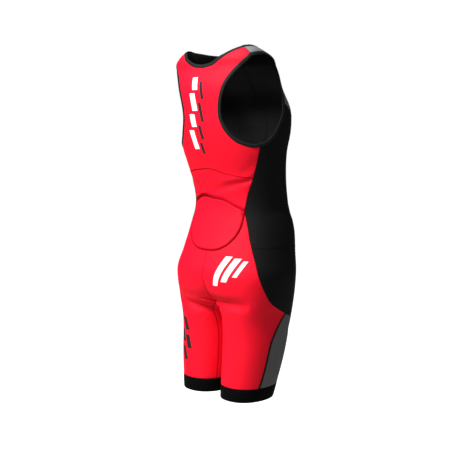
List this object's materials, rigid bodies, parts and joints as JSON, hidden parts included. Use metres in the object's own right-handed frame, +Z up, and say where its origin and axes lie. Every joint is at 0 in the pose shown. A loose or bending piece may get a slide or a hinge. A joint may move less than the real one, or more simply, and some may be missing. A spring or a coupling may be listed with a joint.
{
  "type": "sleeveless swimrun wetsuit",
  "caption": "Sleeveless thigh-length swimrun wetsuit, worn shape with no wearer: red back and seat, black sides, grey thighs, back pocket, bound neck and armholes, front zip.",
  "frame": {"origin": "midway between the shoulder straps, where the wearer's shoulders carry the suit", "axes": "+Z up, -Y the way the wearer faces, +X the wearer's left; the suit hangs down from the straps"},
  "size_m": [0.3472, 0.266, 0.8973],
  "materials": {
    "red_neoprene": "matte neoprene with a red knit face",
    "dark_red_binding": "dark red stretch binding",
    "black_neoprene": "smooth black neoprene",
    "black_binding": "black stretch binding",
    "black_cuff": "black stretch band",
    "dark_grey_neoprene": "matte neoprene with a dark grey knit face",
    "light_grey_neoprene": "matte neoprene with a light grey knit face",
    "zip_tape": "woven polyester tape",
    "zip_chain": "moulded plastic teeth",
    "zip_metal": "dark coated zinc"
  },
  "bodies": {
    "suit": {"back_panel": "red_neoprene", "lumbar_panel": "red_neoprene", "back_pocket": "red_neoprene", "pocket_mouth_binding": "dark_red_binding", "seat_panel_L": "red_neoprene", "inner_leg_panel_L": "red_neoprene", "side_panel_L": "black_neoprene", "hip_side_panel_L": "black_neoprene", "chest_panel_L": "light_grey_neoprene", "front_panel_L": "black_neoprene", "front_hip_panel_L": "black_neoprene", "thigh_panel_L": "dark_grey_neoprene", "cuff_L": "black_cuff", "armhole_binding_L": "black_binding", "seat_panel_R": "red_neoprene", "inner_leg_panel_R": "red_neoprene", "side_panel_R": "black_neoprene", "hip_side_panel_R": "black_neoprene", "chest_panel_R": "light_grey_neoprene", "front_panel_R": "black_neoprene", "front_hip_panel_R": "black_neoprene", "thigh_panel_R": "dark_grey_neoprene", "cuff_R": "black_cuff", "armhole_binding_R": "black_binding", "neck_binding": "black_binding", "zip_tape": "zip_tape", "zip_chain": "zip_chain", "zip_slider": "zip_metal"},
    "pull_tab": {"zip_pull": "zip_metal"}
  },
  "joints": [
    {"name": "pull_tab_hinge", "type": "hinge", "parent": "suit", "child": "pull_tab", "pos_m": [0, -0.10777, -0.02194], "axis": [-1, 0, 0], "range_deg": [0, 150]}
  ]
}
